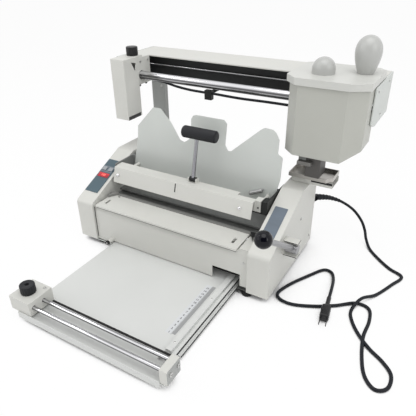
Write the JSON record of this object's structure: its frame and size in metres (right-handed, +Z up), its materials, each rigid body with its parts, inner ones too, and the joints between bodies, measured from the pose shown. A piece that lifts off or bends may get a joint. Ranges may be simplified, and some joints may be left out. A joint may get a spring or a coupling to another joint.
{
  "type": "thermal binding machine",
  "caption": "Desktop book binder with sliding glue pot and milling head on a gantry, a flip-over book clamp, a lever-worked nip and a pull-out creasing table.",
  "frame": {"origin": "centre of the machine's footprint on the surface it stands on, measured without the mains cord and plug", "axes": "+Z up, -Y towards the front where the creasing table pulls out, +X to the operator's right, where the glue pot is parked"},
  "size_m": [0.7867, 0.659, 0.4852],
  "materials": {
    "warm_grey_paint": "satin",
    "cool_grey_paint": "satin",
    "pot_paint": "satin",
    "steel": "brushed",
    "chrome": "polished",
    "black_steel": "satin",
    "black_plastic": "gloss",
    "rubber": "matte",
    "grey_plastic": "gloss",
    "teal_film": "satin",
    "aluminium": "satin"
  },
  "bodies": {
    "frame": {"base_frame": "cool_grey_paint", "foot_front_left": "rubber", "foot_front_right": "rubber", "foot_rear_left": "rubber", "foot_rear_right": "rubber", "housing_left": "warm_grey_paint", "housing_right": "warm_grey_paint", "front_panel": "warm_grey_paint", "spine_table": "cool_grey_paint", "rear_nip_bar": "black_steel", "post_left": "cool_grey_paint", "post_right": "cool_grey_paint", "beam": "black_steel", "beam_cover": "warm_grey_paint", "end_cap_left": "cool_grey_paint", "end_cap_right": "cool_grey_paint", "guide_rod": "chrome", "rear_rod": "steel", "tray_stand": "black_steel", "control_panel": "teal_film", "side_lever_fork": "steel", "head_cable": "rubber", "pot_cable": "rubber", "strain_relief": "rubber", "mains_cord": "rubber", "plug": "black_plastic"},
    "nip": {"platform": "warm_grey_paint", "front_nip_bar": "steel"},
    "side_lever": {"side_lever_hub": "steel", "side_lever_rod": "steel", "side_lever_ball": "black_plastic"},
    "clamp": {"back_plate": "cool_grey_paint", "clamp_arm_left": "black_steel", "clamp_arm_right": "black_steel"},
    "catch": {"clamp_catch": "steel"},
    "jaw": {"jaw_plate": "warm_grey_paint", "jaw_bar": "warm_grey_paint"},
    "clamp_lever": {"clamp_lever_shaft": "steel", "clamp_lever_grip": "rubber"},
    "table": {"table_plate": "cool_grey_paint", "anvil_strip": "rubber", "rod_end_right": "warm_grey_paint", "rod_end_left": "steel", "rod_front": "chrome", "rod_rear": "chrome"},
    "carriage": {"crease_carriage": "warm_grey_paint"},
    "wheel": {"crease_wheel": "steel"},
    "carriage_knob": {"crease_knob": "black_plastic"},
    "head": {"milling_head": "warm_grey_paint"},
    "depth_knob": {"head_knob": "black_plastic"},
    "cutter": {"milling_cutter": "steel"},
    "pot": {"pot_case": "pot_paint", "pot_tank": "aluminium"},
    "lid": {"pot_lid": "warm_grey_paint", "push_handle": "grey_plastic"},
    "roller": {"glue_roller": "steel"},
    "gate": {"glue_gate": "steel"},
    "tray": {"drip_tray": "aluminium"},
    "key_one": {"key_1": "grey_plastic"},
    "key_two": {"key_2": "grey_plastic"}
  },
  "joints": [
    {"name": "nip_slide", "type": "slide", "parent": "frame", "child": "nip", "axis": [0, 1, 0], "range_m": [0, 0.025]},
    {"name": "side_lever_hinge", "type": "hinge", "parent": "frame", "child": "side_lever", "pos_m": [0.233, 0.0175, 0.104], "axis": [1, 0, 0], "range_deg": [0, 50]},
    {"name": "clamp_flip", "type": "hinge", "parent": "frame", "child": "clamp", "pos_m": [-0.035, 0.125, 0.165], "axis": [-1, 0, 0], "range_deg": [0, 180]},
    {"name": "catch_hinge", "type": "hinge", "parent": "clamp", "child": "catch", "pos_m": [0.128, 0.09396, 0.172], "axis": [0, 1, 0], "range_deg": [0, 60]},
    {"name": "jaw_slide", "type": "slide", "parent": "clamp", "child": "jaw", "axis": [0, 1, 0], "range_m": [0, 0.036]},
    {"name": "clamp_lever_hinge", "type": "hinge", "parent": "jaw", "child": "clamp_lever", "pos_m": [-0.021, 0.0535, 0.182], "axis": [1, 0, 0], "range_deg": [0, 60]},
    {"name": "table_slide", "type": "slide", "parent": "frame", "child": "table", "axis": [0, 1, 0], "range_m": [0, 0.195]},
    {"name": "carriage_slide", "type": "slide", "parent": "table", "child": "carriage", "axis": [1, 0, 0], "range_m": [0, 0.29]},
    {"name": "carriage_knob_turn", "type": "hinge", "parent": "carriage", "child": "carriage_knob", "pos_m": [-0.182, -0.3, 0.052], "axis": [0, 0, 1], "continuous": true},
    {"name": "wheel_spin", "type": "hinge", "parent": "carriage", "child": "wheel", "pos_m": [-0.177, -0.273, 0.0273], "axis": [0, 1, 0], "continuous": true},
    {"name": "head_slide", "type": "slide", "parent": "frame", "child": "head", "axis": [1, 0, 0], "range_m": [0, 0.37], "deforming": ["head_cable"]},
    {"name": "depth_knob_turn", "type": "hinge", "parent": "head", "child": "depth_knob", "pos_m": [-0.265, 0.1775, 0.405], "axis": [0, 0, 1], "continuous": true},
    {"name": "cutter_spin", "type": "hinge", "parent": "head", "child": "cutter", "pos_m": [-0.265, 0.1465, 0.26], "axis": [0, 0, 1], "continuous": true},
    {"name": "pot_slide", "type": "slide", "parent": "frame", "child": "pot", "axis": [1, 0, 0], "range_m": [-0.37, 0], "deforming": ["pot_cable"]},
    {"name": "lid_hinge", "type": "hinge", "parent": "pot", "child": "lid", "pos_m": [0.21, 0.27, 0.4003], "axis": [-1, 0, 0], "range_deg": [0, 95]},
    {"name": "roller_spin", "type": "hinge", "parent": "pot", "child": "roller", "pos_m": [0.2215, 0.1635, 0.2415], "axis": [1, 0, 0], "continuous": true},
    {"name": "gate_slide", "type": "slide", "parent": "pot", "child": "gate", "axis": [1, 0, 0], "range_m": [0, 0.012]},
    {"name": "tray_slide", "type": "slide", "parent": "frame", "child": "tray", "axis": [1, 0, 0], "range_m": [0, 0.08]},
    {"name": "key_1_press", "type": "slide", "parent": "frame", "child": "key_one", "axis": [0, 0.4138, -0.9104], "range_m": [0, 0.0006], "stiffness_N_per_m": 300},
    {"name": "key_2_press", "type": "slide", "parent": "frame", "child": "key_two", "axis": [0, 0.4138, -0.9104], "range_m": [0, 0.0006], "stiffness_N_per_m": 300}
  ],
  "couplings": [
    {"joint": "side_lever_hinge", "follows": "nip_slide", "rad_per_m": 34.9},
    {"joint": "clamp_lever_hinge", "follows": "jaw_slide", "rad_per_m": 29}
  ]
}
